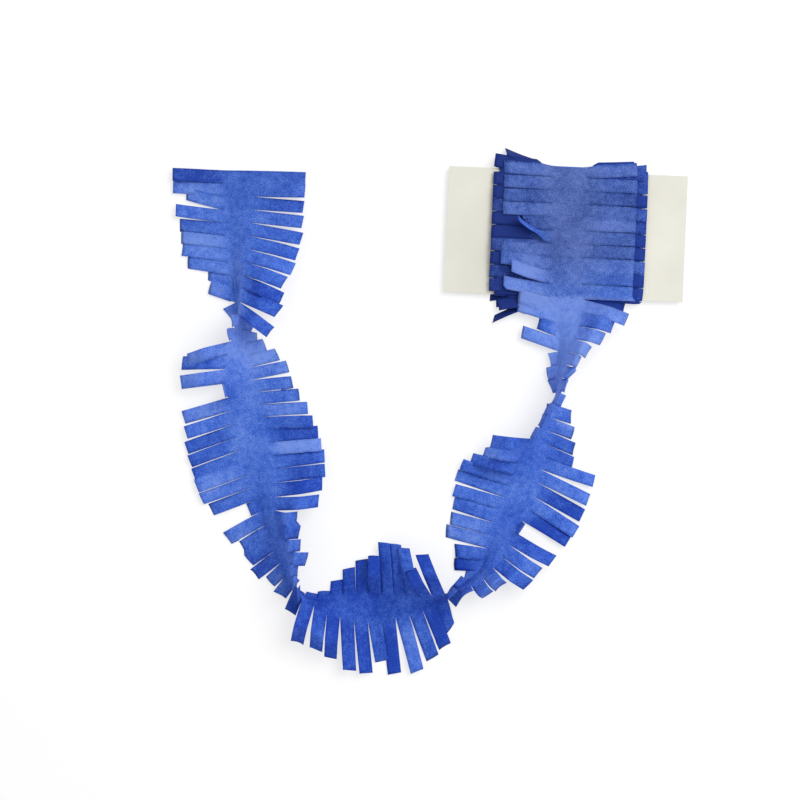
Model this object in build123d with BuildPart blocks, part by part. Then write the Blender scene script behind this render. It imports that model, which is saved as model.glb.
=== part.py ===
"""A tissue paper fringe garland, wound flat on a board with a twisted tail lying loose beside it.

One long strip of tissue is slit from both edges, so that an uncut band runs down its middle and
fringe tabs stand out on both sides. Most of it is wound round a board, turn on turn. The last
stretch leaves the front of the pile at the lower edge, and is twisted over four times as it lies
in a loop on the surface. X runs along the board, Y up it, Z up from the surface. The origin is on
the surface, under the middle of the board.
"""

import os
from math import acos, cos, pi, radians, sin, sqrt

from build123d import *

# The board that the strip is wound on
card_width = 180.0
card_height = 95.0
card_thickness = 1.5

# The tissue strip: an uncut band with a fringe of tabs on both sides
strip_width = 100.0
band_width = 20.0
tab_pitch = 10.0
slit_gap = 0.4
paper = 0.4
tab_paper = 0.3
tenon = 0.6

# The wound turns, from the board outwards
turn_count = 6
back_step = 0.9
front_step = 1.1
shoulder_step = 0.75
top_step = 0.6
bottom_step = 1.0
first_bulge = 0.7
card_clear = 0.3
slit_depth = 0.64
hidden_share = 0.33
hidden_pitches = 10
bend_points = 2
crown_share = 0.33

# How far each turn slips along the board, at the back and then at the front
drift_shares = (
    (-0.01, -0.03),
    (0.03, 0.06),
    (0.09, 0.10),
    (0.05, -0.02),
    (-0.05, -0.065),
    (-0.01, 0.015),
)

# The tail's middle line, as shares of the strip's width, with the strip's twist in degrees
tail_course_shares = (
    (0.04, -0.49, 0),
    (0.04, -0.65, 30),
    (0.02, -0.83, 58),
    (0.00, -1.03, 76),
    (-0.02, -1.21, 90),
    (-0.11, -1.47, 124),
    (-0.18, -1.70, 158),
    (-0.24, -1.93, 180),
    (-0.33, -2.15, 184),
    (-0.42, -2.38, 218),
    (-0.52, -2.57, 248),
    (-0.69, -2.70, 270),
    (-0.89, -2.80, 304),
    (-1.11, -2.86, 335),
    (-1.34, -2.88, 360),
    (-1.60, -2.87, 396),
    (-1.85, -2.81, 450),
    (-2.02, -2.54, 476),
    (-2.13, -2.27, 490),
    (-2.20, -1.95, 525),
    (-2.29, -1.66, 540),
    (-2.38, -1.36, 543),
    (-2.43, -1.08, 566),
    (-2.43, -0.74, 630),
    (-2.45, -0.53, 656),
    (-2.46, -0.22, 686),
    (-2.47, 0.08, 708),
    (-2.48, 0.38, 720),
)

# How far each tail tab reaches from the middle line, as seen from above, as a share of half the
# strip's width: on the outside of the loop, and then on its inside
outer_reach_shares = (
    0.88, 0.66, 0.54, 0.38, 0.27, 0.21, 0.15, 0.14,
    0.37, 0.46, 0.58, 0.64, 1.00, 1.00, 1.00, 1.00, 0.96, 0.14, 0.84, 0.72, 0.66, 0.36, 0.30, 0.16,
    0.22, 0.50, 0.75, 0.86, 1.00, 1.00, 0.84, 0.98, 0.97, 0.80, 0.72, 0.70, 0.36,
    0.34, 0.34, 0.52, 0.52, 0.54, 0.74, 0.45, 0.88, 0.98, 1.00, 1.00, 1.00, 1.00, 0.94, 0.93,
    0.30, 0.85, 0.81, 0.74, 0.32, 0.16,
    0.22, 0.22, 0.50, 0.77, 0.89, 0.88, 0.92, 0.95, 0.85, 1.00, 1.00,
)
inner_reach_shares = (
    0.78, 0.80, 0.45, 0.66, 0.28, 0.18, 0.13, 0.10,
    0.10, 0.12, 0.15, 0.70, 0.74, 0.88, 1.00, 1.00, 0.94, 0.89, 0.81, 0.79, 0.58, 0.46, 0.16, 0.12,
    0.12, 0.72, 0.76, 0.90, 0.97, 1.00, 0.80, 0.73, 0.60, 0.40, 0.18, 0.12, 0.10,
    0.10, 0.24, 0.42, 0.41, 0.45, 0.46, 0.80, 0.88, 0.96, 1.00, 1.00, 1.00, 0.97, 0.94, 0.86,
    0.79, 0.76, 0.62, 0.42, 0.30, 0.22,
    0.62, 0.69, 0.73, 0.76, 0.87, 0.92, 0.97, 0.98, 0.98, 1.00, 1.00,
)

reach_tables = (outer_reach_shares, inner_reach_shares)

# Where the tabs lean along the tail: the share of its length passed, then how far the outer and
# the inner tabs lean forward, as shares of a tab's length
lean_shares = (
    (0.00, 0.20, -0.23),
    (0.05, 0.08, -0.23),
    (0.06, 0.12, 0.32),
    (0.09, 0.30, 0.40),
    (0.12, -0.12, 0.00),
    (0.16, 0.10, 0.14),
    (0.18, 0.04, 0.02),
    (0.196, 0.18, 0.13),
    (0.21, 0.18, 0.04),
    (0.24, 0.08, 0.16),
    (0.30, 0.18, 0.30),
    (0.32, 0.10, 0.60),
    (0.35, -0.40, 0.40),
    (0.37, 0.06, 0.04),
    (0.39, -0.06, -0.06),
    (0.42, -0.12, -0.02),
    (0.47, -0.15, 0.18),
    (0.50, -0.04, 0.00),
    (0.53, -0.60, -0.40),
    (0.57, -0.24, -0.60),
    (0.61, -0.30, -0.28),
    (0.64, -0.25, -0.02),
    (0.67, -0.09, -0.15),
    (0.72, -0.07, -0.20),
    (0.76, -0.10, -0.05),
    (0.79, -0.02, 0.22),
    (0.80, -0.28, 0.36),
    (0.82, -0.60, -0.20),
    (0.85, -0.40, -0.90),
    (0.86, 0.00, -0.48),
    (0.89, 0.15, -0.35),
    (0.93, 0.10, -0.20),
    (0.96, 0.06, -0.08),
    (1.00, 0.02, 0.00),
)

# How the tail's paper stands at a twist, as shares of a tab's length or of the band
upper_leg_share = 0.55
flop_share = 0.8
least_reach_share = 0.14
tuck_share = 0.6
pinch_share = 0.35
spring_share = 0.12
flat_reach_share = 0.93
least_fold_share = 0.3
ruffle_shares = (0.03, 0.09, 0.05, 0.12, 0.02, 0.07, 0.14, 0.04, 0.10, 0.06, 0.13)
fold_height = 1.0
stack_step = 0.37
band_gap = 0.5
twist_lift = 2.6

# Sizes that follow
tab_length = (strip_width - band_width) / 2
tab_width = tab_pitch - 2 * slit_gap
half_band = band_width / 2
edge = card_height / 2 + card_clear
card_floor = paper + back_step * (turn_count - 1)


def back_level(turn):
    """Height of the middle of the paper where a turn crosses behind the board."""
    return card_floor - paper / 2 - back_step * turn


def front_level(turn, step):
    """Height of the middle of the paper where a turn crosses in front of the board."""
    return card_floor + card_thickness + paper / 2 + step * turn


def bend(side, bulge, low, high):
    """Corners of a turn round one edge of the board, from the low level to the high one."""
    middle = (low + high) / 2
    rise = (high - low) / 2
    corners = []
    for step in range(1, bend_points + 1):
        angle = pi * step / (bend_points + 1) - pi / 2
        corners.append((side * (edge + bulge * cos(angle)), middle + rise * sin(angle)))
    return corners


def wound_corners():
    """Corners of the wound strip's middle surface, from its hidden end to the tail."""
    corners = []
    for turn in range(turn_count):
        back_drift, front_drift = (share * strip_width for share in drift_shares[turn])
        low = back_level(turn)
        shoulder = front_level(turn, shoulder_step)
        crown = front_level(turn, front_step)
        inset = edge * crown_share
        corners += [(back_drift, -edge, low), (back_drift, edge, low)]
        middle_drift = (back_drift + front_drift) / 2
        for y, z in bend(1, first_bulge + top_step * turn, low, shoulder):
            corners.append((middle_drift, y, z))
        for y, z in ((edge, shoulder), (inset, crown), (-inset, crown), (-edge, shoulder)):
            corners.append((front_drift, y, z))
        if turn + 1 < turn_count:
            next_drift = drift_shares[turn + 1][0] * strip_width
            bulge = first_bulge + bottom_step * turn
            for y, z in reversed(bend(-1, bulge, back_level(turn + 1), shoulder)):
                corners.append(((front_drift + next_drift) / 2, y, z))
    return [Vector(*corner) for corner in corners]


def section_planes(corners):
    """A plane across the strip at each corner, halving the bend there."""
    planes = []
    for index, corner in enumerate(corners):
        before = corners[max(index - 1, 0)]
        after = corners[min(index + 1, len(corners) - 1)]
        into = (corner - before) if index else (after - corner)
        out = (after - corner) if corner != after else into
        into = Vector(0, into.Y, into.Z).normalized()
        out = Vector(0, out.Y, out.Z).normalized()
        planes.append(Plane(origin=corner, x_dir=(1, 0, 0), z_dir=into + out))
    return planes


def slit_planes(corners):
    """A plane across the strip at each slit of the wound turns, fewer in the hidden ones."""
    planes = []
    ahead = tab_pitch
    for index, (start, end) in enumerate(zip(corners, corners[1:])):
        run = end - start
        while ahead < run.length:
            point = start + run * (ahead / run.length)
            planes.append(Plane(origin=point, x_dir=(1, 0, 0), z_dir=(0, run.Y, run.Z)))
            hidden = index < hidden_share * len(corners)
            ahead += tab_pitch * (hidden_pitches if hidden else 1)
        ahead -= run.length
    return planes


def between(table, share):
    """The values of a table's row at a share of the tail's length, drawn from its neighbours."""
    for before, after in zip(table, table[1:]):
        if share <= after[0]:
            part = (share - before[0]) / (after[0] - before[0])
            return [low + (high - low) * part for low, high in zip(before, after)]
    return list(table[-1])


class Station:
    """A place on the tail's middle line: its height, and how the strip is turned there.

    Its reaches and leans are those of the outer tab, and then of the inner one.
    """

    def __init__(self, line, twists, share):
        place = line.position_at(share)
        course = line.tangent_at(share)
        self.course = Vector(course.X, course.Y, 0).normalized()
        self.across = Vector(-self.course.Y, self.course.X, 0)
        self.twist = radians(between(twists, line.param_at_point(place))[1])
        turned = abs(sin(self.twist))
        self.half = half_band * (1 - pinch_share * turned)
        self.floor = max(1 - share / spring_share, 0) * front_level(turn_count - 1, shoulder_step)
        lift = band_gap + (self.half + twist_lift) * turned
        self.middle = Vector(place.X, place.Y, self.floor + lift)
        self.reaches = [table[min(int(share * len(table)), len(table) - 1)] for table in reach_tables]
        self.leans = between(lean_shares, share)[1:]

    def outward(self, side):
        """The direction in the band's plane towards the outer (1) or inner (-1) side of the loop."""
        facing = 1 if cos(self.twist) >= 0 else -1
        return (self.across * cos(self.twist) + Vector(0, 0, sin(self.twist))) * side * facing

    def plane(self):
        """The plane of the band's section."""
        outward = self.across * cos(self.twist) + Vector(0, 0, sin(self.twist))
        return Plane(origin=self.middle, x_dir=outward, z_dir=self.course)


def tail_stations(first_share):
    """Stations one tab pitch apart along the tail, the first at a share of the pitch."""
    places = [(x * strip_width, y * strip_width) for x, y, _ in tail_course_shares]
    line = Spline(*places)
    knots = [line.param_at_point(Vector(x, y)) for x, y in places]
    twists = [(knot, row[2]) for knot, row in zip(knots, tail_course_shares)]
    count = round(line.length / tab_pitch)
    shares = [(index + first_share) / count for index in range(count + 1)]
    return [Station(line, twists, share) for share in shares if share <= 1]


def flat_tab(index, side, span):
    """A tab that lies out flat, its tip a little lifted."""
    ruffle = ruffle_shares[(index + 4 * side) % len(ruffle_shares)]
    return [(0, 0), (span, ruffle * tab_length)]


def tucked_tab(index, station, root, span):
    """A tab on the low side of a twist, folded back under the strip."""
    under = station.floor + tab_paper + stack_step * (index % 3) - root.Z
    tuck = min(tab_length - span, tab_length * tuck_share, span + 2 * station.half)
    return [(0, 0), (span, under + fold_height), (span - tuck, under)]


def flopped_tab(station, root, span):
    """A tab on the high side of a twist, which stands up and flops over."""
    open_share = (span / tab_length - least_reach_share) / (1 - least_reach_share)
    steep = acos(max(min(open_share, 1), 0))
    first = tab_length * upper_leg_share
    second = tab_length - first
    out, up = first * cos(steep), first * sin(steep)
    fall = min(second * sin(steep * flop_share), root.Z + up - station.floor - stack_step * 3)
    return [(0, 0), (out, up), (out + sqrt(second**2 - fall**2), up - fall)]


def tab_profile(index, station, side, root):
    """The side view of one tab of the tail, as distances outward from its root and up from it."""
    reach = station.reaches[(1 - side) // 2]
    edge_reach = (root - station.middle).dot(station.across) * side
    span = max(reach * strip_width / 2 - edge_reach, 2 * tenon)
    if reach >= flat_reach_share:
        return flat_tab(index, side, span)
    if station.outward(side).Z < 0:
        return tucked_tab(index, station, root, span)
    return flopped_tab(station, root, span)


def paper_outline(profile):
    """The outline of paper of a tab's thickness that follows a profile, its sharp folds cut short."""
    points = [Vector(*point) for point in profile]
    legs = [(end - start).normalized() for start, end in zip(points, points[1:])]
    above, below = [], []
    for point, before, after in zip(points, legs[:1] + legs, legs + legs[-1:]):
        along = (before + after).normalized()
        mitre = 1 / max(along.dot(after), least_fold_share)
        rise = Vector(-along.Y, along.X) * (tab_paper / 2 * mitre)
        above.append(point + rise)
        below.insert(0, point - rise)
    return above + below


def tab_solid(index, station, side):
    """One fringe tab of the tail."""
    root = station.middle + station.outward(side) * (station.half - tenon)
    lean = station.leans[(1 - side) // 2]
    outward = station.across * side + station.course * lean
    with BuildPart() as tab:
        with BuildSketch(Plane(root, x_dir=outward, z_dir=outward.cross(Vector(0, 0, 1)))):
            with BuildLine():
                Polyline(*paper_outline(tab_profile(index, station, side, root)), close=True)
            make_face()
        extrude(amount=tab_width / 2, both=True)
    return tab.part


# Build the pieces
os.makedirs("parts", exist_ok=True)

with BuildPart() as winding_card:
    with BuildSketch(Plane.XY.offset(card_floor)):
        Rectangle(card_width, card_height)
    extrude(amount=card_thickness)

corners = wound_corners()
roots = list(enumerate(tail_stations(0.5)))
tabs = [tab_solid(index, root, side) for index, root in roots for side in (-1, 1)]

with BuildPart() as fringe_garland:
    for plane in section_planes(corners):
        with BuildSketch(plane):
            Rectangle(strip_width, paper)
    loft(ruled=True)
    slit_place = (strip_width - tab_length) / 2
    for plane in slit_planes(corners):
        with BuildSketch(plane):
            with Locations((slit_place, 0), (-slit_place, 0)):
                Rectangle(tab_length, slit_depth)
    extrude(amount=slit_gap / 2, both=True, mode=Mode.SUBTRACT)

    start = section_planes(corners)[-1]
    with BuildSketch(Plane(start.origin + Vector(0, tenon, 0), x_dir=(1, 0, 0), z_dir=(0, -1, 0))):
        Rectangle(band_width, tab_paper)
    for station in tail_stations(0):
        with BuildSketch(station.plane()):
            Rectangle(2 * station.half, paper)
    loft(ruled=True)
    add(tabs)

winding_card.part.label = "winding_card"
fringe_garland.part.label = "fringe_garland"
export_step(winding_card.part, "parts/winding_card.step")
export_step(fringe_garland.part, "parts/fringe_garland.step")
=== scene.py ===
"""Looks of a tissue paper fringe garland, wound flat on a board with a twisted tail beside it.

The strip is made as the real one is: a flat sheet is slit from both edges, and then each point of
it is wound round the board or laid along the twisted tail. Lengths are in metres.
"""

import random
from math import acos, cos, floor, pi, radians, sin, sqrt

import bmesh
import bpy
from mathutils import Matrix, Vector, noise


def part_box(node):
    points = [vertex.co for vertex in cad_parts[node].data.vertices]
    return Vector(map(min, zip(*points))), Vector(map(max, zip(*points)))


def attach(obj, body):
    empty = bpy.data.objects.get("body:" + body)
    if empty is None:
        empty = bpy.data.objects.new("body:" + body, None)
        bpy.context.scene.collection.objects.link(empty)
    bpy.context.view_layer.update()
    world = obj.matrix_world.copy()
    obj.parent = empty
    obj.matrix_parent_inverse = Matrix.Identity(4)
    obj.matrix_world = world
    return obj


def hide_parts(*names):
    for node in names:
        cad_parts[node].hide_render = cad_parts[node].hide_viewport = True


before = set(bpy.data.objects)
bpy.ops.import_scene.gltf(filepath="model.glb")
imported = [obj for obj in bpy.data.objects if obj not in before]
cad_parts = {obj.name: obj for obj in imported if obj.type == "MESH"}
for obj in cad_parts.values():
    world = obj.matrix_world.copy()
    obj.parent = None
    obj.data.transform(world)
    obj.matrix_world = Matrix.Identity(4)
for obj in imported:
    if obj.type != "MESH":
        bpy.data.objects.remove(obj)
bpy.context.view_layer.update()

MM = 0.001

# The board, as the frame holds it, and the strip
card_low, card_high = (Vector(corner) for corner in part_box("winding_card"))
card_height = card_high.y - card_low.y
card_thickness = card_high.z - card_low.z
card_floor = card_low.z
strip_width = 100 * MM
band_width = 20 * MM
tab_pitch = 10 * MM
paper = 0.4 * MM
tissue = 0.12 * MM

# The wound turns, from the board outwards
turn_count = 6
back_step = 0.9 * MM
front_step = 1.1 * MM
shoulder_step = 0.75 * MM
top_step = 0.6 * MM
bottom_step = 1.0 * MM
first_bulge = 0.7 * MM
card_clear = 0.3 * MM
bend_points = 2
crown_share = 0.33

# How far each turn slips along the board, at the back and then at the front
drift_shares = (
    (-0.01, -0.03),
    (0.03, 0.06),
    (0.09, 0.10),
    (0.05, -0.02),
    (-0.05, -0.065),
    (-0.01, 0.015),
)

# The tail's middle line, as shares of the strip's width, with the strip's twist in degrees
tail_course_shares = (
    (0.04, -0.49, 0),
    (0.04, -0.65, 30),
    (0.02, -0.83, 58),
    (0.00, -1.03, 76),
    (-0.02, -1.21, 90),
    (-0.11, -1.47, 124),
    (-0.18, -1.70, 158),
    (-0.24, -1.93, 180),
    (-0.33, -2.15, 184),
    (-0.42, -2.38, 218),
    (-0.52, -2.57, 248),
    (-0.69, -2.70, 270),
    (-0.89, -2.80, 304),
    (-1.11, -2.86, 335),
    (-1.34, -2.88, 360),
    (-1.60, -2.87, 396),
    (-1.85, -2.81, 450),
    (-2.02, -2.54, 476),
    (-2.13, -2.27, 490),
    (-2.20, -1.95, 525),
    (-2.29, -1.66, 540),
    (-2.38, -1.36, 543),
    (-2.43, -1.08, 566),
    (-2.43, -0.74, 630),
    (-2.45, -0.53, 656),
    (-2.46, -0.22, 686),
    (-2.47, 0.08, 708),
    (-2.48, 0.38, 720),
)

# How far each tail tab reaches from the middle line, as seen from above, as a share of half the
# strip's width: on the outside of the loop, and then on its inside
outer_reach_shares = (
    0.88, 0.66, 0.54, 0.38, 0.27, 0.21, 0.15, 0.14,
    0.37, 0.46, 0.58, 0.64, 1.00, 1.00, 1.00, 1.00, 0.96, 0.14, 0.84, 0.72, 0.66, 0.36, 0.30, 0.16,
    0.22, 0.50, 0.75, 0.86, 1.00, 1.00, 0.84, 0.98, 0.97, 0.80, 0.72, 0.70, 0.36,
    0.34, 0.34, 0.52, 0.52, 0.54, 0.74, 0.45, 0.88, 0.98, 1.00, 1.00, 1.00, 1.00, 0.94, 0.93,
    0.30, 0.85, 0.81, 0.74, 0.32, 0.16,
    0.22, 0.22, 0.50, 0.77, 0.89, 0.88, 0.92, 0.95, 0.85, 1.00, 1.00,
)
inner_reach_shares = (
    0.78, 0.80, 0.45, 0.66, 0.28, 0.18, 0.13, 0.10,
    0.10, 0.12, 0.15, 0.70, 0.74, 0.88, 1.00, 1.00, 0.94, 0.89, 0.81, 0.79, 0.58, 0.46, 0.16, 0.12,
    0.12, 0.72, 0.76, 0.90, 0.97, 1.00, 0.80, 0.73, 0.60, 0.40, 0.18, 0.12, 0.10,
    0.10, 0.24, 0.42, 0.41, 0.45, 0.46, 0.80, 0.88, 0.96, 1.00, 1.00, 1.00, 0.97, 0.94, 0.86,
    0.79, 0.76, 0.62, 0.42, 0.30, 0.22,
    0.62, 0.69, 0.73, 0.76, 0.87, 0.92, 0.97, 0.98, 0.98, 1.00, 1.00,
)

# Where the tabs lean along the tail: the share of its length passed, then how far the outer and
# the inner tabs lean forward, as shares of a tab's length
lean_shares = (
    (0.00, 0.20, -0.23),
    (0.05, 0.08, -0.23),
    (0.06, 0.12, 0.32),
    (0.09, 0.30, 0.40),
    (0.12, -0.12, 0.00),
    (0.16, 0.10, 0.14),
    (0.18, 0.04, 0.02),
    (0.196, 0.18, 0.13),
    (0.21, 0.18, 0.04),
    (0.24, 0.08, 0.16),
    (0.30, 0.18, 0.30),
    (0.32, 0.10, 0.60),
    (0.35, -0.40, 0.40),
    (0.37, 0.06, 0.04),
    (0.39, -0.06, -0.06),
    (0.42, -0.12, -0.02),
    (0.47, -0.15, 0.18),
    (0.50, -0.04, 0.00),
    (0.53, -0.60, -0.40),
    (0.57, -0.24, -0.60),
    (0.61, -0.30, -0.28),
    (0.64, -0.25, -0.02),
    (0.67, -0.09, -0.15),
    (0.72, -0.07, -0.20),
    (0.76, -0.10, -0.05),
    (0.79, -0.02, 0.22),
    (0.80, -0.28, 0.36),
    (0.82, -0.60, -0.20),
    (0.85, -0.40, -0.90),
    (0.86, 0.00, -0.48),
    (0.89, 0.15, -0.35),
    (0.93, 0.10, -0.20),
    (0.96, 0.06, -0.08),
    (1.00, 0.02, 0.00),
)

# How the tail's paper stands, flops over and folds under at a twist: the shares are of a tab's
# length, of the band's width or of the tail, and a flat tab's tip lifts by one of the ruffle shares
upper_leg_share = 0.55
flop_share = 0.8
least_reach_share = 0.14
tuck_share = 0.6
pinch_share = 0.35
spring_share = 0.12
flat_reach_share = 0.93
ruffle_shares = (0.03, 0.09, 0.05, 0.12, 0.02, 0.07, 0.14, 0.04, 0.10, 0.06, 0.13)
ruffle_offset = 4
fold_height = 1.0 * MM
stack_step = 0.37 * MM
stack_count = 3
band_gap = 0.5 * MM
twist_lift = 2.6 * MM

# How a tab of the tail bends, seen from its side: a flat tab's corners as shares of how far out
# and how high its tip is, a folded tab's knee as shares of its reach and of the fold's height, and
# the crest of a tab that flops over, with how much narrower and steeper a shut one is
flat_corner_shares = ((0, 0), (0.35, 0.2), (0.7, 0.75), (1, 1))
knee_share = 0.6
knee_height_share = 1.3
crest = 2.5 * MM
shut_crest_share = 0.6
shut_flop_share = 0.15

# How single tabs vary on the tail and on the board: the curl of the tip, its swing along the strip
# and how it rolls, as a share of the tab's width, and how far a tucked tip lies under its tab
tail_curl = 0.8 * MM
tail_swing = 0.5 * MM
tail_roll_share = 0.14
board_curl = 0.5 * MM
board_swing = 0.25 * MM
board_roll_share = 0.06
tuck_drop = 0.3 * MM

# How much darker or paler single tabs are: on the tail and its last wound tabs, and further back
shown_tabs = 11
shown_shade_spread = 0.20
hidden_shade_spread = 0.30

# How much narrower a tab is at its tip, and by which share of its length it has turned square to
# its own lean, left its neighbours where it stands off, and rolled over there, with how late its
# swing and its lift grow
slit_share = 0.045
square_share = 0.7
loose_share = 0.35
roll_share = 1 / 2.4
swing_power = 1.3
lift_power = 1.5

# The band's crumple at a twist, with how fast it waves across and along, in radians a metre, and
# the soft unevenness of the tail's band
crumple_height = 0.9 * MM
crumple_across = 900
crumple_along = 260
wave_height = 0.5 * MM
waves_in_metre = 30

# How dark the wound paper looks in the band, and how much darker the tabs grow: in the last tabs
# before the tail, and then left (-1) and right (1) on the layers below, with how dull the blue is.
# On the layers below, the darker tips and the duller blue are painted shade, deepest on the left.
front_tabs = 10
band_tone = 0.42
front_tip_tone = 0.10
hidden_painted_shade = {-1: (0.60, 0.70), 1: (0.50, 0.45)}

# By which share of a tab's length it has all of that tone, and all of its own shade
full_tone_share = 1 / 2
full_shade_share = 1 / 3

# How dull the blue is where the tail starts and at its free end, over how many tabs that fades,
# and how much brighter a tip is before the tail, unless it lifts off far enough, in millimetres,
# to lose all of its dullness. The dullness on the front of the pile and where the tail starts is a
# painted sheen, greying the blue of the paper that faces up to the lamp; at the free end it is only
# a duller blue.
start_dull = 0.4
end_dull = 0.25
fade_tabs = 6
tip_brightness = 0.25
high_lift = 9

# How dark the tail's paper looks, from pale (0) to dark (1), by the share of its length passed.
# The pale stretch next to the board is painted light, as the paper there is raised and tilted to
# the lamp.
shade_shares = (
    (0.00, 0.10),
    (0.10, 0.12),
    (0.14, 0.55),
    (0.33, 0.58),
    (0.36, 0.85),
    (0.51, 0.85),
    (0.55, 0.55),
    (0.70, 0.50),
    (0.78, 0.35),
    (0.81, 0.12),
    (0.845, 0.15),
    (0.87, 0.45),
    (0.92, 0.40),
    (1.00, 0.75),
)

# Tabs that stand off, numbered along the strip from the tail's start, with their side: how far
# the tip lifts off the paper and swings along the strip, in millimetres, how many degrees the tab
# rolls over, and the share of its length that it reaches
stray_tabs = {
    (-43, -1): (-3, 15, 50, 0.95),
    (-42, -1): (-3, 5, 35, 1.00),
    (-33, -1): (1, -7, 20, 1.00),
    (-32, -1): (1, -4, 0, 1.00),
    (-22, -1): (-2, 5, 20, 0.85),
    (-21, -1): (-2, 3, 0, 0.95),
    (-11, -1): (4, -10, 50, 0.94),
    (-10, -1): (0.5, -1.5, 0, 1.00),
    (-5, -1): (10, -12, 62, 0.72),
    (-3, -1): (2, -3, 0, 1.00),
    (-2, -1): (8, -7, 6, 0.80),
    (-1, -1): (3, -4, 0, 0.93),
    (-75, 1): (0, -5, 0, 1.00),
    (-43, 1): (-3, 4, 0, 1.00),
    (-22, 1): (-2, 4, 0, 1.00),
    (-11, 1): (2, -2, 10, 1.00),
    (-10, 1): (0.5, -3.4, 0, 1.00),
    (-9, 1): (1, 0, 6, 1.00),
    (25, 1): (3, 3, 30, 1.00),
    (66, 1): (3, 9, 0, 0.90),
}

# Tabs that lie otherwise than their neighbours: how far each reaches, as a share of half the
# strip's width, and how far its tip slides along the strip, in millimetres
laid_tabs = {
    (4, -1): (0.20, 0.0),
    (11, -1): (0.70, 4.5),
    (12, -1): (0.74, 3.0),
    (13, -1): (0.88, -3.0),
    (17, -1): (0.89, -3.0),
    (18, -1): (0.82, -2.8),
    (19, -1): (0.80, -2.0),
    (20, -1): (0.58, 1.5),
    (21, -1): (0.47, 4.0),
    (25, -1): (0.73, -1.2),
    (26, -1): (0.58, 6.0),
    (30, -1): (0.80, -0.7),
    (31, -1): (0.73, -1.8),
    (32, -1): (0.60, -1.2),
    (0, 1): (0.88, 3.5),
    (3, 1): (0.38, 2.0),
    (4, 1): (0.27, 2.0),
    (5, 1): (0.21, 2.0),
    (26, 1): (0.75, -3.0),
    (27, 1): (0.86, -2.6),
    (28, 1): (1.00, -2.3),
    (29, 1): (1.00, 2.7),
    (30, 1): (0.84, -1.4),
    (32, 1): (0.93, 0.0),
    (33, 1): (0.76, 0.0),
    (34, 1): (0.66, -1.2),
    (35, 1): (0.62, 3.5),
    (43, 1): (0.31, 0.0),
    (56, 1): (0.18, 0.0),
    (59, 1): (0.47, 8.0),
    (60, 1): (0.50, 3.0),
}

# Tabs that fold back under themselves: the share of their length that still shows, and how much
# less of it does at the tab's far edge than at its near one
tucked_tabs = {(-6, -1): (0.58, 0.26)}

# Tabs that look darker or paler than their neighbours: partly single and double paper, and partly
# painted light and shade, with raised tabs on the board turned from the light and the layers under
# the lifted tab (-5, -1) painted darker, and the lifted tab (-2, -1) painted paler.
shade_marks = {
    (-43, -1): 0.80, (-42, -1): 0.60, (-33, -1): 0.60, (-32, -1): 0.10, (-28, -1): 0.50,
    (-27, -1): 0.20, (-22, -1): 0.60, (-21, -1): 0.50, (-11, -1): 0.70, (-5, -1): 0.20,
    (-2, -1): -0.30, (-1, -1): -0.10, (0, -1): -0.10, (1, -1): -0.10, (2, -1): 0.50,
    (13, -1): 0.20, (14, -1): 0.10, (18, -1): -0.15, (19, -1): -0.20, (20, -1): 0.20,
    (21, -1): 0.30, (44, -1): 0.20, (45, -1): 0.25, (47, -1): -0.30, (48, -1): 0.35,
    (49, -1): 0.30, (58, -1): 0.50, (59, -1): 0.30, (60, -1): 0.20,
    (-43, 1): 0.40, (-22, 1): 0.40, (-11, 1): 0.40, (0, 1): 0.25, (1, 1): 0.20,
    (14, 1): 0.20, (16, 1): 0.25, (28, 1): -0.30, (48, 1): 0.30, (49, 1): 0.30,
    (54, 1): 0.30, (67, 1): -0.35, (68, 1): 0.25,
}

# Slits that were never cut, by the tab after them and its side, so that two tabs hold together
uncut_slits = (
    (-6, 1), (-2, 1), (1, -1), (12, -1), (41, 1), (42, -1), (47, 1), (60, 1), (68, -1),
)

# The cells across the sheet and along a tab, the steps between two places of the tail's course,
# how often and where a course's corners are cut, how far to each side its direction is read, and
# the shortest run that counts
across_cells = 30
tab_rows = 4
course_steps = 12
corner_cuts = 2
corner_cut_share = 0.25
board_window = 0.6 * MM
tail_window = 4 * MM
least_run = 1e-9

# How strongly the tissue is mottled and its colour drifts, and how much light it lets through
cloud_strength = 0.8
speck_strength = 1.35
drift_strength = 0.8
glow_share = 0.35

# The camera straight above, turned as the photograph is, and the soft light on a white surface
view_centre = Vector((-0.1193, -0.1302, 0))
view_half_width = 0.3028
view_height = 1.2
view_turn = radians(2.5)
sensor_width = 36
lamp_place = Vector((0.55, 0.45, 1.15))
lamp_size = 0.9
lamp_power = 13
sky_strength = 0.75
floor_half_width = 3.0
floor_glow = 0.6

# Sizes that follow
tab_length = (strip_width - band_width) / 2
half_band = band_width / 2
edge = card_height / 2 + card_clear
cell = strip_width / across_cells
near = cell / 4
up = Vector((0, 0, 1))
rng = random.Random(31)


def back_level(turn):
    """Height of the paper where a turn crosses behind the board."""
    return card_floor - paper / 2 - back_step * turn


def front_level(turn, step):
    """Height of the paper where a turn crosses in front of the board."""
    return card_floor + card_thickness + paper / 2 + step * turn


def bend(side, bulge, low, high):
    """Corners of a turn round one edge of the board, from the low level to the high one."""
    middle = (low + high) / 2
    rise = (high - low) / 2
    angles = [pi * step / (bend_points + 1) - pi / 2 for step in range(1, bend_points + 1)]
    return [(side * (edge + bulge * cos(angle)), middle + rise * sin(angle)) for angle in angles]


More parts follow.
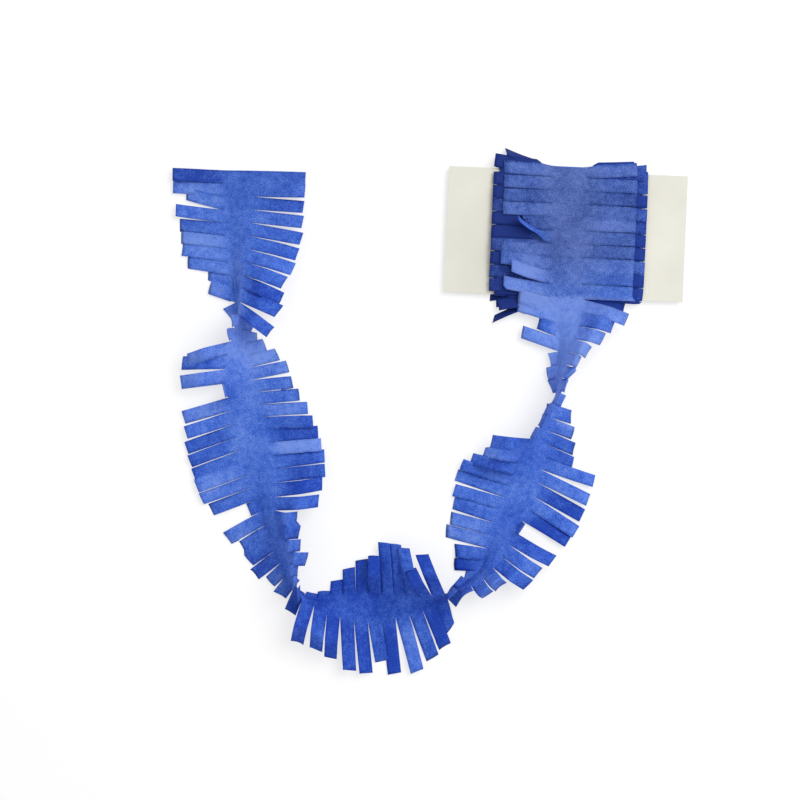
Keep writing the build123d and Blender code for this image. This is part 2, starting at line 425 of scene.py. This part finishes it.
def wound_corners():
    """Corners of the wound strip's middle line, from its hidden end to the tail."""
    corners = []
    for turn in range(turn_count):
        back_drift, front_drift = (share * strip_width for share in drift_shares[turn])
        low = back_level(turn)
        shoulder = front_level(turn, shoulder_step)
        crown = front_level(turn, front_step)
        inset = edge * crown_share
        corners += [(back_drift, -edge, low), (back_drift, edge, low)]
        for y, z in bend(1, first_bulge + top_step * turn, low, shoulder):
            corners.append(((back_drift + front_drift) / 2, y, z))
        for y, z in ((edge, shoulder), (inset, crown), (-inset, crown), (-edge, shoulder)):
            corners.append((front_drift, y, z))
        if turn + 1 < turn_count:
            next_drift = drift_shares[turn + 1][0] * strip_width
            bulge = first_bulge + bottom_step * turn
            for y, z in reversed(bend(-1, bulge, back_level(turn + 1), shoulder)):
                corners.append(((front_drift + next_drift) / 2, y, z))
    return [Vector(corner) for corner in corners]


def rounded(points, times):
    """The points with their corners cut, so that the line through them is smooth."""
    for _ in range(times):
        cut = [points[0]]
        for start, end in zip(points, points[1:]):
            cut += [start.lerp(end, corner_cut_share), end.lerp(start, corner_cut_share)]
        points = cut + [points[-1]]
    return points


def through(points, steps):
    """Points of a smooth line that passes through the given ones."""
    line = []
    for index in range(len(points) - 1):
        a = points[max(index - 1, 0)]
        b, c = points[index], points[index + 1]
        d = points[min(index + 2, len(points) - 1)]
        for step in range(steps):
            t = step / steps
            bow = (a * 2 - b * 5 + c * 4 - d) * t * t + (b * 3 - a - c * 3 + d) * t**3
            line.append((b * 2 + (c - a) * t + bow) * 0.5)
    return line + [points[-1]]


def between(table, share):
    """The values of a table's row at a share, drawn from its neighbours."""
    for before, after in zip(table, table[1:]):
        if share <= after[0]:
            part = (share - before[0]) / (after[0] - before[0])
            return [low + (high - low) * part for low, high in zip(before, after)]
    return list(table[-1])


class Course:
    """A line that is read by the distance along it."""

    def __init__(self, points):
        self.points = points
        self.marks = [0.0]
        for start, end in zip(points, points[1:]):
            self.marks.append(self.marks[-1] + (end - start).length)
        self.length = self.marks[-1]

    def at(self, distance):
        """The point at a distance."""
        distance = min(max(distance, 0), self.length)
        low, high = 0, len(self.marks) - 2
        while low < high:
            middle = (low + high + 1) // 2
            if self.marks[middle] <= distance:
                low = middle
            else:
                high = middle - 1
        run = self.points[low + 1] - self.points[low]
        part = (distance - self.marks[low]) / max(run.length, least_run)
        return self.points[low] + run * part

    def direction(self, distance, window):
        """The direction about a distance, smoothed over a window."""
        return (self.at(distance + window) - self.at(distance - window)).normalized()


wound = Course(rounded(wound_corners(), corner_cuts))
tail_places = [Vector((x * strip_width, y * strip_width, 0)) for x, y, _ in tail_course_shares]
tail = Course(through(tail_places, course_steps))
tail_twists = [(mark, row[2]) for mark, row in zip(tail.marks[::course_steps], tail_course_shares)]
tail_tabs = round(tail.length / tab_pitch)
wound_tabs = round(wound.length / tab_pitch)
strip_tabs = wound_tabs + tail_tabs
strip_length = strip_tabs * tab_pitch


class Place:
    """Where the strip's middle line is, and how it is turned, at a distance along the strip."""

    def __init__(self, distance):
        self.tail = max(min(distance / tab_pitch - wound_tabs, tail_tabs), -1) * tab_pitch
        if self.tail < 0:
            self.on_board(distance / (wound_tabs * tab_pitch) * wound.length)
        else:
            self.on_tail(self.tail / (tail_tabs * tab_pitch))

    def on_board(self, distance):
        """Places the band on the wound pile."""
        self.middle = wound.at(distance)
        along = wound.direction(distance, board_window)
        self.across = Vector((1, 0, 0))
        self.along = Vector((0, along.y, along.z)).normalized()
        self.half = half_band
        self.facing = 1
        self.out = self.across
        self.away = self.along.cross(self.across)

    def on_tail(self, share):
        """Places the band on the twisted tail."""
        distance = share * tail.length
        self.along = tail.direction(distance, tail_window)
        twist = radians(between(tail_twists, distance)[1])
        self.across = Vector((-self.along.y, self.along.x, 0))
        self.turned = abs(sin(twist))
        self.half = half_band * (1 - pinch_share * self.turned)
        self.floor = max(1 - share / spring_share, 0) * front_level(turn_count - 1, shoulder_step)
        lift = self.floor + band_gap + (self.half + twist_lift) * self.turned
        self.middle = tail.at(distance) + up * lift
        self.facing = 1 if cos(twist) >= 0 else -1
        self.out = self.across * cos(twist) + up * sin(twist)
        self.away = self.along.cross(self.out)


def flat_tab(index, side, span):
    """Side view of a tab that lies out flat, its tip a little lifted."""
    rise = ruffle_shares[(index + ruffle_offset * side) % len(ruffle_shares)] * tab_length
    return [(span * out, rise * height) for out, height in flat_corner_shares]


def tucked_tab(index, place, root, span):
    """Side view of a tab on the low side of a twist, folded back under the strip."""
    under = place.floor + stack_step * (index % stack_count) + paper - root.z
    room = span + 2 * place.half * abs(place.out.dot(place.across))
    tuck = min(tab_length - span, tab_length * tuck_share, room)
    knee = (span * knee_share, under + fold_height * knee_height_share)
    return [(0, 0), knee, (span, under + fold_height), (span, under), (span - tuck, under)]


def flopped_tab(place, root, span):
    """Side view of a tab on the high side of a twist, which stands up and flops over."""
    open_share = (span / tab_length - least_reach_share) / (1 - least_reach_share)
    steep = acos(max(min(open_share, 1), 0))
    shut = steep / (pi / 2)
    turn = crest * (1 - shut_crest_share * shut)
    first = tab_length * upper_leg_share
    second = tab_length - first - turn
    out, rise = first * cos(steep), first * sin(steep)
    steep_fall = steep * (flop_share + shut_flop_share * shut)
    fall = min(second * sin(steep_fall), root.z + rise - place.floor - stack_step * stack_count)
    last = out + turn + sqrt(second**2 - fall**2)
    return [(0, 0), (out, rise), (out + turn, rise), (last, rise - fall)]


class Tab:
    """One fringe tab: which one it is, and how it hangs from the band."""

    def __init__(self, index, hand):
        self.hand = hand
        self.place = Place((index + 0.5) * tab_pitch)
        self.tail_index = index - wound_tabs
        self.side = hand * self.place.facing
        self.curl = rng.gauss(0, 1)
        self.roll = rng.gauss(0, 1)
        self.swing = rng.gauss(0, 1)
        hidden = self.tail_index < -shown_tabs
        spread = hidden_shade_spread if hidden else shown_shade_spread
        key = (self.tail_index, self.side)
        # A tab's shade: a random spread plus its mark, which stands for single and double paper and
        # for painted light and shade
        self.shade = rng.uniform(-spread, spread) + shade_marks.get(key, 0)
        self.stray = stray_tabs.get(key)
        self.shows, self.slant = tucked_tabs.get(key, (1, 0))
        if self.tail_index >= 0:
            self.hang_from_tail()

    def root(self):
        """Where the tab's middle leaves the band."""
        return self.place.middle + self.place.out * (self.hand * self.place.half)

    def hang_from_tail(self):
        """Gives a tab of the tail its side view and its direction outward."""
        place, index, side = self.place, self.tail_index, self.side
        reaches = outer_reach_shares if side > 0 else inner_reach_shares
        reach, slide = laid_tabs.get((index, side), (reaches[index], 0))
        lean = between(lean_shares, (index + 0.5) / tail_tabs)[1 if side > 0 else 2]
        span = max(reach * strip_width / 2 - place.half * abs(place.out.dot(place.across)), paper)
        lean += slide * MM / span
        if reach >= flat_reach_share:
            profile = flat_tab(index, side, span)
        elif place.out.z * self.hand < 0:
            profile = tucked_tab(index, place, self.root(), span)
        else:
            profile = flopped_tab(place, self.root(), span)
        corners = [Vector((out, 0, rise)) for out, rise in profile]
        self.profile = Course(rounded(corners, corner_cuts))
        self.outward = (place.across * side + place.along * lean).normalized()
        sideways = place.along - self.outward * place.along.dot(self.outward)
        self.sideways = sideways.normalized()

    def point(self, edge_point, place, from_middle, reach):
        """Where the tab's paper is, a distance out from the band's edge."""
        share = reach / tab_length
        edge_point = edge_point - place.along * (from_middle * slit_share * share)
        if self.tail_index < 0:
            point = self.point_on_board(edge_point, place.away, from_middle, share)
        else:
            square = min(share / square_share, 1)
            square *= 2 - square
            edge_point += (self.sideways - place.along) * (from_middle * square)
            point = self.point_on_tail(edge_point, from_middle, share)
        if self.stray:
            free = min(share / loose_share, 1)
            free *= free * (3 - 2 * free)
            point = point.lerp(self.stray_point(from_middle, share, point), free)
        return point

    def point_on_tail(self, edge_point, from_middle, share):
        """Where the tab's paper is on the tail."""
        spot = self.profile.at(share * self.profile.length)
        curl = self.curl * tail_curl * share**2 + self.roll * from_middle * tail_roll_share * share
        swing = self.swing * tail_swing * share**2
        point = edge_point + self.outward * spot.x + up * (spot.z + curl)
        return point + self.place.along * swing

    def point_on_board(self, edge_point, away, from_middle, share):
        """Where the tab's paper is on the wound pile, folded back where the tab is tucked."""
        lift = abs(self.curl) * board_curl * share**2
        lift += self.roll * from_middle * board_roll_share * share
        swing = self.swing * board_swing * share**2
        shows = self.shows - self.slant * from_middle / tab_pitch
        if share > shows:
            share = 2 * shows - share
            lift -= tuck_drop
        out = self.place.across * (self.hand * share * tab_length)
        return edge_point + out + away * lift + self.place.along * swing

    def stray_point(self, from_middle, share, point):
        """Where the paper of a tab that stands off is."""
        lift, swing, roll, shows = self.stray
        angle = radians(roll) * min(share / roll_share, 1)
        place, root = self.place, self.root()
        out = place.across * (point - root).dot(place.across)
        forward, upward = Vector((0, -1, 0)), up
        if self.tail_index >= 0:
            forward, upward = place.along, place.away * place.facing
        along = forward * (from_middle * cos(angle) + swing * MM * share**swing_power)
        away = upward * (from_middle * sin(angle) + lift * MM * share**lift_power)
        if self.tail_index >= 0:
            away += up * (point - root).dot(up)
        return root + out * (1 - (1 - shows) * share) + along + away


def is_uncut(cut, out):
    """Whether the slit at a cut, on that side of the strip, was left out."""
    facing = Place(cut * tab_pitch).facing
    return (cut - wound_tabs, facing if out > 0 else -facing) in uncut_slits


def slit_sheet(bm):
    """A flat sheet of the strip's size, slit from both edges and mapped by its flat size."""
    rows = strip_tabs * tab_rows
    bmesh.ops.create_grid(bm, x_segments=across_cells, y_segments=rows, size=0.5)
    bmesh.ops.scale(bm, vec=(strip_width, strip_length, 1), verts=bm.verts)
    bmesh.ops.translate(bm, vec=(0, strip_length / 2, 0), verts=bm.verts)
    slits = []
    for line in bm.edges:
        low, high = line.verts[0].co, line.verts[1].co
        cut = round(low.y / tab_pitch)
        level = abs(low.y - high.y) < near and abs(low.y - cut * tab_pitch) < near
        beyond = min(abs(low.x), abs(high.x)) > half_band - near
        inside = 0 < cut < strip_tabs and not is_uncut(cut, low.x + high.x)
        if level and beyond and inside:
            slits.append(line)
    bmesh.ops.split_edges(bm, edges=slits)
    layer = bm.loops.layers.uv.new("flat")
    for face in bm.faces:
        for loop in face.loops:
            loop[layer].uv = (loop.vert.co.x, loop.vert.co.y)


def band_point(place, from_middle, distance):
    """Where the band's paper is, with the crumple of a twist and soft waves on the tail."""
    point = place.middle + place.out * (from_middle / half_band * place.half)
    if place.tail < 0:
        return point
    ripple = sin(from_middle * crumple_across + distance * crumple_along) * place.turned**2
    wave = noise.noise(Vector((from_middle, distance, 0)) * waves_in_metre)
    return point + place.away * (ripple * crumple_height + wave * wave_height)


def tab_index(vert):
    """Which tab of the flat sheet a point belongs to."""
    centres = [face.calc_center_median().y for face in vert.link_faces]
    return min(max(floor(sum(centres) / len(centres) / tab_pitch), 0), strip_tabs - 1)


def strip_tone(distance, reach, hand, stray):
    """How dark the paper looks there, from pale (0) to dark (1), and how dull (1) its blue is.

    Both carry painted light, shade and sheen as well as the paper's own tone.
    """
    ahead = distance / tab_pitch - wound_tabs
    dull = start_dull - ahead / fade_tabs
    if ahead > 0:
        ending = min(max(ahead - tail_tabs + fade_tabs, 0) / fade_tabs, 1)
        return between(shade_shares, ahead / tail_tabs)[1], max(dull, end_dull * ending)
    outer = min(reach / tab_length / full_tone_share, 1)
    if ahead > -front_tabs:
        dull = min(dull, 1)
        # Tab tips carry less of the painted sheen, and a tip lifted off far enough carries none of it
        lifted = stray is not None and stray[0] > high_lift
        dull -= (dull if lifted else tip_brightness) * outer
        return band_tone + front_tip_tone * outer, dull
    # The layers below: painted shade darkens their tips and dulls their blue
    tip_tone, dull = hidden_painted_shade[hand]
    return band_tone + tip_tone * outer, dull


def lay_strip(bm):
    """Winds the flat sheet round the board and lays its tail out."""
    tabs = {(index, hand): Tab(index, hand) for index in range(strip_tabs) for hand in (-1, 1)}
    places = {}
    # The shade layer holds painted light and shade along with the paper's own tone and plies; the
    # fade layer holds a painted sheen and painted shade that dull the blue, and the free end's duller
    # blue
    shade = bm.verts.layers.float.new("shade")
    fade = bm.verts.layers.float.new("fade")
    laid = []
    for vert in bm.verts:
        flat = vert.co
        row = round(flat.y / tab_pitch * tab_rows)
        if row not in places:
            places[row] = Place(flat.y)
        place = places[row]
        if abs(flat.x) < half_band + near:
            laid.append((vert, band_point(place, flat.x, flat.y), *strip_tone(flat.y, 0, 1, None)))
            continue
        hand = 1 if flat.x > 0 else -1
        index = tab_index(vert)
        tab = tabs[(index, hand)]
        edge_point = band_point(place, hand * half_band, flat.y)
        from_middle = flat.y - (index + 0.5) * tab_pitch
        reach = abs(flat.x) - half_band
        point = tab.point(edge_point, place, from_middle, reach)
        point.z = max(point.z, tissue)
        tone, dull = strip_tone(flat.y, reach, hand, tab.stray)
        tone += tab.shade * min(reach / tab_length / full_shade_share, 1)
        laid.append((vert, point, tone, dull))
    for vert, point, tone, dull in laid:
        vert.co = point
        vert[shade] = tone
        vert[fade] = dull


def new_object(name, bm):
    """A mesh object made of what a bmesh holds."""
    mesh = bpy.data.meshes.new(name)
    bm.to_mesh(mesh)
    bm.free()
    thing = bpy.data.objects.new(name, mesh)
    bpy.context.scene.collection.objects.link(thing)
    return thing


def garland():
    """The tissue strip, slit, laid and given its thickness."""
    bm = bmesh.new()
    slit_sheet(bm)
    lay_strip(bm)
    strip = new_object("tissue_strip", bm)
    for polygon in strip.data.polygons:
        polygon.use_smooth = True
    shell = strip.modifiers.new("thickness", "SOLIDIFY")
    shell.thickness = tissue
    shell.offset = 0
    strip.data.materials.append(tissue_material())
    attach(strip, "root")
    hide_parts("fringe_garland")


class Wire:
    """A socket of a material, with sums and products written as on numbers."""

    def __init__(self, nodes, socket):
        self.nodes = nodes
        self.socket = socket

    def maths(self, operation, *others):
        """The socket of a sum or product with other sockets or numbers."""
        return self.nodes.add("ShaderNodeMath", {"operation": operation}, [self, *others])

    def __add__(self, other):
        return self.maths("ADD", other)

    def __mul__(self, other):
        return self.maths("MULTIPLY", other)

    def __sub__(self, other):
        return self.maths("SUBTRACT", other)

    def __rsub__(self, other):
        return self.nodes.add("ShaderNodeMath", {"operation": "SUBTRACT"}, [other, self])

    __radd__ = __add__
    __rmul__ = __mul__


class Nodes:
    """The nodes of one material."""

    def __init__(self, name):
        self.material = bpy.data.materials.new(name)
        self.material.use_nodes = True
        self.tree = self.material.node_tree
        self.tree.nodes.clear()

    def add(self, kind, settings=None, values=(), output=0):
        """Adds one node: its settings, then its sockets' values or links, by place or name."""
        node = self.tree.nodes.new(kind)
        for name, value in (settings or {}).items():
            if name == "stops":
                self.set_stops(node, value)
            else:
                setattr(node, name, value)
        pairs = values.items() if isinstance(values, dict) else enumerate(values)
        for name, value in pairs:
            if isinstance(value, Wire):
                self.tree.links.new(value.socket, node.inputs[name])
            else:
                node.inputs[name].default_value = value
        if not node.outputs:
            return node
        return Wire(self, node.outputs[output])

    def set_stops(self, node, stops):
        """Sets the places and colours of a ramp."""
        ramp = node.color_ramp
        while len(ramp.elements) < len(stops):
            ramp.elements.new(0.5)
        for element, (place, colour) in zip(ramp.elements, stops):
            element.position = place
            element.color = colour

    def mix(self, factor, first, second):
        """A colour between two others."""
        settings = {"data_type": "RGBA"}
        return self.add("ShaderNodeMix", settings, {0: factor, 6: first, 7: second}, output=2)

    def finish(self, surface):
        """The material, with its surface joined to the output."""
        self.add("ShaderNodeOutputMaterial", values={"Surface": surface})
        return self.material


def tissue_material():
    """Dyed tissue: thin, matt, mottled where its fibres bunch, and lit through from behind.

    Its blue also carries painted light, shade and sheen, read from the shade and fade attributes.
    """
    nodes = Nodes("blue_tissue_paper")
    flat = nodes.add("ShaderNodeUVMap", {"uv_map": "flat"})
    cloud = nodes.add("ShaderNodeTexNoise", values={"Vector": flat, "Scale": 240.0, "Detail": 3.0})
    speck = nodes.add("ShaderNodeTexNoise", values={"Vector": flat, "Scale": 1000.0, "Detail": 2.0})
    drift = nodes.add("ShaderNodeTexNoise", values={"Vector": flat, "Scale": 45.0, "Detail": 2.0})
    # Painted light and shade come in through shade, and a painted sheen and painted shade through
    # fade
    shade = nodes.add("ShaderNodeAttribute", {"attribute_name": "shade"}, output=2)
    fade = nodes.add("ShaderNodeAttribute", {"attribute_name": "fade"}, output=2)
    mottle = (cloud - 0.5) * cloud_strength + (speck - 0.5) * speck_strength
    tone = shade + mottle + (drift - 0.5) * drift_strength
    stops = [
        (0.0, (0.225, 0.370, 0.850, 1)),
        (0.5, (0.070, 0.190, 0.720, 1)),
        (1.0, (0.010, 0.063, 0.500, 1)),
    ]
    # The dull ramp greys the blue for the painted sheen, and its darkest stop is painted shade
    dull_stops = [
        (0.0, (0.160, 0.230, 0.600, 1)),
        (0.5, (0.068, 0.130, 0.430, 1)),
        (1.0, (0.007, 0.019, 0.125, 1)),
    ]
    bright = nodes.add("ShaderNodeValToRGB", {"stops": stops}, [tone])
    dull = nodes.add("ShaderNodeValToRGB", {"stops": dull_stops}, [tone])
    blue = nodes.mix(fade, bright, dull)
    bump = nodes.add("ShaderNodeBump", values={"Height": mottle, "Strength": 0.2, "Distance": 0.0003})
    front = nodes.add(
        "ShaderNodeBsdfPrincipled",
        values={"Base Color": blue, "Roughness": 0.75, "Specular IOR Level": 0.3, "Normal": bump},
    )
    glow = nodes.add("ShaderNodeBsdfTranslucent", values={"Color": blue, "Normal": bump})
    return nodes.finish(nodes.add("ShaderNodeMixShader", values=[glow_share, front, glow]))


def board_material():
    """Pale warm grey board, matt, with faint cloudy fibres."""
    nodes = Nodes("pale_grey_board")
    spot = nodes.add("ShaderNodeTexCoord", output=3)
    cloud = nodes.add("ShaderNodeTexNoise", values={"Vector": spot, "Scale": 22.0, "Detail": 5.0})
    fibre = nodes.add("ShaderNodeTexNoise", values={"Vector": spot, "Scale": 900.0, "Detail": 3.0})
    stops = [(0.3, (0.54, 0.53, 0.47, 1)), (0.7, (0.61, 0.60, 0.53, 1))]
    grey = nodes.add("ShaderNodeValToRGB", {"stops": stops}, [cloud * 0.8 + fibre * 0.2])
    bump = nodes.add("ShaderNodeBump", values={"Height": fibre, "Strength": 0.2, "Distance": 0.0002})
    values = {"Base Color": grey, "Roughness": 0.7, "Normal": bump}
    return nodes.finish(nodes.add("ShaderNodeBsdfPrincipled", values=values))


def floor_material():
    """A plain white surface, which the camera sees a little brighter than it is."""
    nodes = Nodes("white_floor")
    values = {"Base Color": (0.90, 0.90, 0.90, 1), "Roughness": 0.9}
    plain = nodes.add("ShaderNodeBsdfPrincipled", values=values)
    white = nodes.add("ShaderNodeEmission", values={"Color": (1, 1, 1, 1), "Strength": 1.0})
    seen = nodes.add("ShaderNodeLightPath")
    return nodes.finish(nodes.add("ShaderNodeMixShader", values=[seen * floor_glow, plain, white]))


def board():
    """The board, which keeps its own shape and gets its looks."""
    for slot in bpy.data.objects["winding_card"].material_slots:
        slot.material = board_material()


def studio():
    """The surface that the garland lies on, soft light and the camera straight above."""
    bm = bmesh.new()
    bmesh.ops.create_grid(bm, x_segments=1, y_segments=1, size=floor_half_width)
    ground = new_object("studio_floor", bm)
    ground.data.materials.append(floor_material())

    world = bpy.data.worlds.new("studio_light")
    bpy.context.scene.world = world
    world.use_nodes = True
    sky = world.node_tree.nodes["Background"].inputs
    sky["Color"].default_value = (1, 1, 1, 1)
    sky["Strength"].default_value = sky_strength

    lamp = bpy.data.lights.new("softbox", "AREA")
    lamp.shape = "SQUARE"
    lamp.size = lamp_size
    lamp.energy = lamp_power
    softbox = bpy.data.objects.new("softbox", lamp)
    softbox.location = view_centre + lamp_place
    softbox.rotation_euler = (-lamp_place).to_track_quat("-Z", "Y").to_euler()
    bpy.context.scene.collection.objects.link(softbox)

    lens = bpy.data.cameras.new("overhead")
    lens.sensor_width = sensor_width
    lens.lens = sensor_width / 2 / (view_half_width / view_height)
    camera = bpy.data.objects.new("overhead", lens)
    camera.location = view_centre + up * view_height
    camera.rotation_euler = (0, 0, view_turn)
    bpy.context.scene.collection.objects.link(camera)
    bpy.context.scene.camera = camera
    bpy.context.scene.view_settings.view_transform = "Standard"


studio()
board()
garland()
